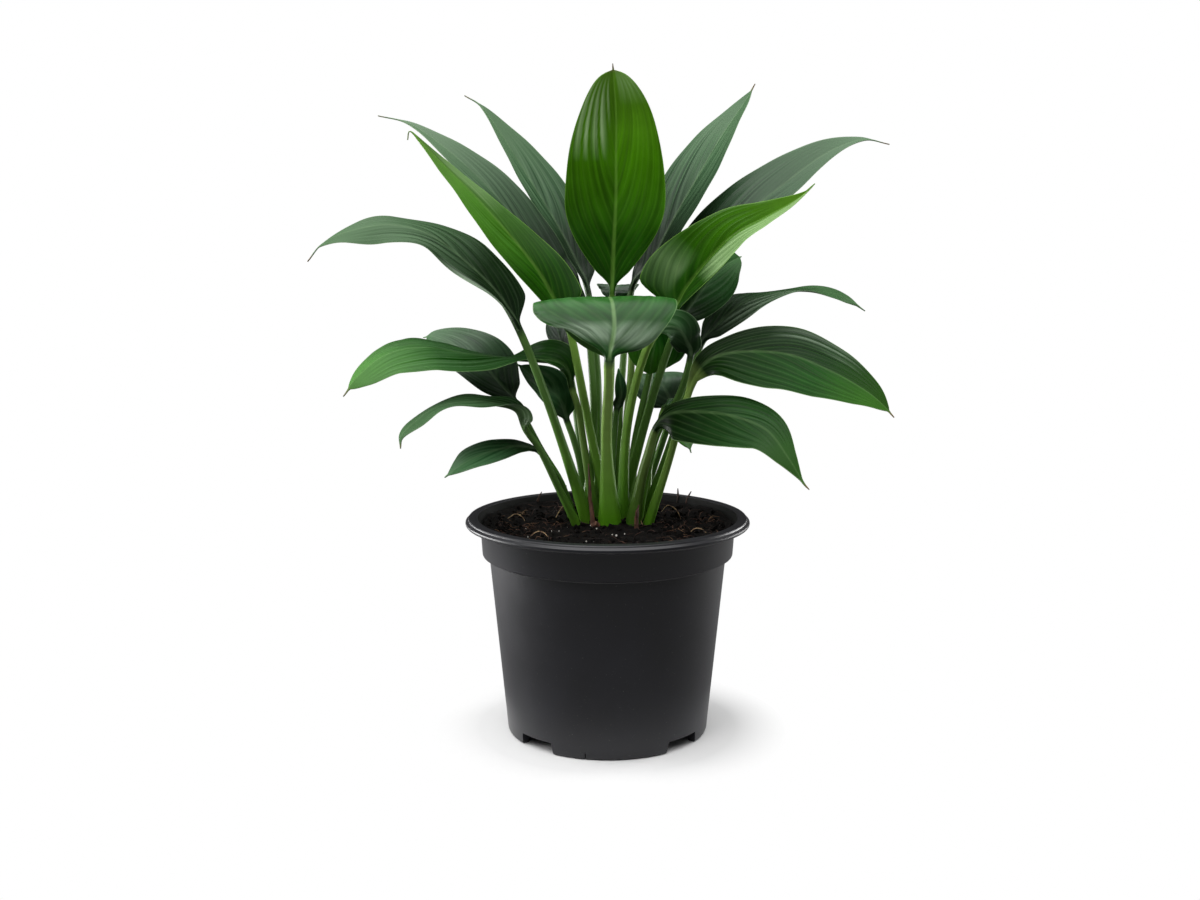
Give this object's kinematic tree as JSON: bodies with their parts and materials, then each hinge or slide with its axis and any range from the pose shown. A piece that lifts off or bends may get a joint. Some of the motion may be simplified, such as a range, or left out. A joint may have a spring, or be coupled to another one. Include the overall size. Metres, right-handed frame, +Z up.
{
  "type": "potted cast iron plant",
  "caption": "Cast iron plant with long pointed leaf blades on thin upright stalks, some bright and some dark green, rooted in dark soil in a round black nursery pot with a stepped collar and lip.",
  "frame": {"origin": "centre of the pot's foot, on the surface that the pot stands on", "axes": "+Z up, -Y towards the viewer of the picture, +X to the viewer's right"},
  "size_m": [0.4845, 0.2454, 0.5611],
  "materials": {
    "pot_plastic": "satin moulded plastic",
    "soil": "loose peat with fibres",
    "leaf_bright": "satin bright green leaf",
    "leaf_middle": "glossy green leaf",
    "leaf_dark": "glossy dark green leaf",
    "dry_sheath": "dry brown sheath"
  },
  "bodies": {
    "root": {"pot": "pot_plastic", "soil": "soil", "leaf_centre_tall": "leaf_bright", "leaf_upper_left_back": "leaf_dark", "leaf_upper_left_bright": "leaf_bright", "leaf_back_left_tall": "leaf_dark", "leaf_back_right_tall": "leaf_dark", "leaf_far_right_high": "leaf_dark", "leaf_upper_right_bright": "leaf_bright", "leaf_front_arching": "leaf_middle", "leaf_left_long": "leaf_dark", "leaf_left_low_wavy": "leaf_dark", "leaf_left_broad": "leaf_middle", "leaf_right_inner_small": "leaf_dark", "leaf_right_upright": "leaf_dark", "leaf_right_broad": "leaf_middle", "leaf_right_low": "leaf_middle", "leaf_right_wavy": "leaf_dark", "leaf_left_behind": "leaf_dark", "leaf_left_inner": "leaf_dark", "leaf_left_lowest": "leaf_dark", "leaf_new_rolled": "leaf_dark", "leaf_centre_drooping": "leaf_middle", "leaf_back_low": "leaf_dark", "leaf_left_inner_upper": "leaf_dark", "leaf_right_under_small": "leaf_middle", "leaf_back_hidden": "leaf_dark", "dry_sheath_left": "dry_sheath", "dry_sheath_right": "dry_sheath"}
  },
  "joints": []
}
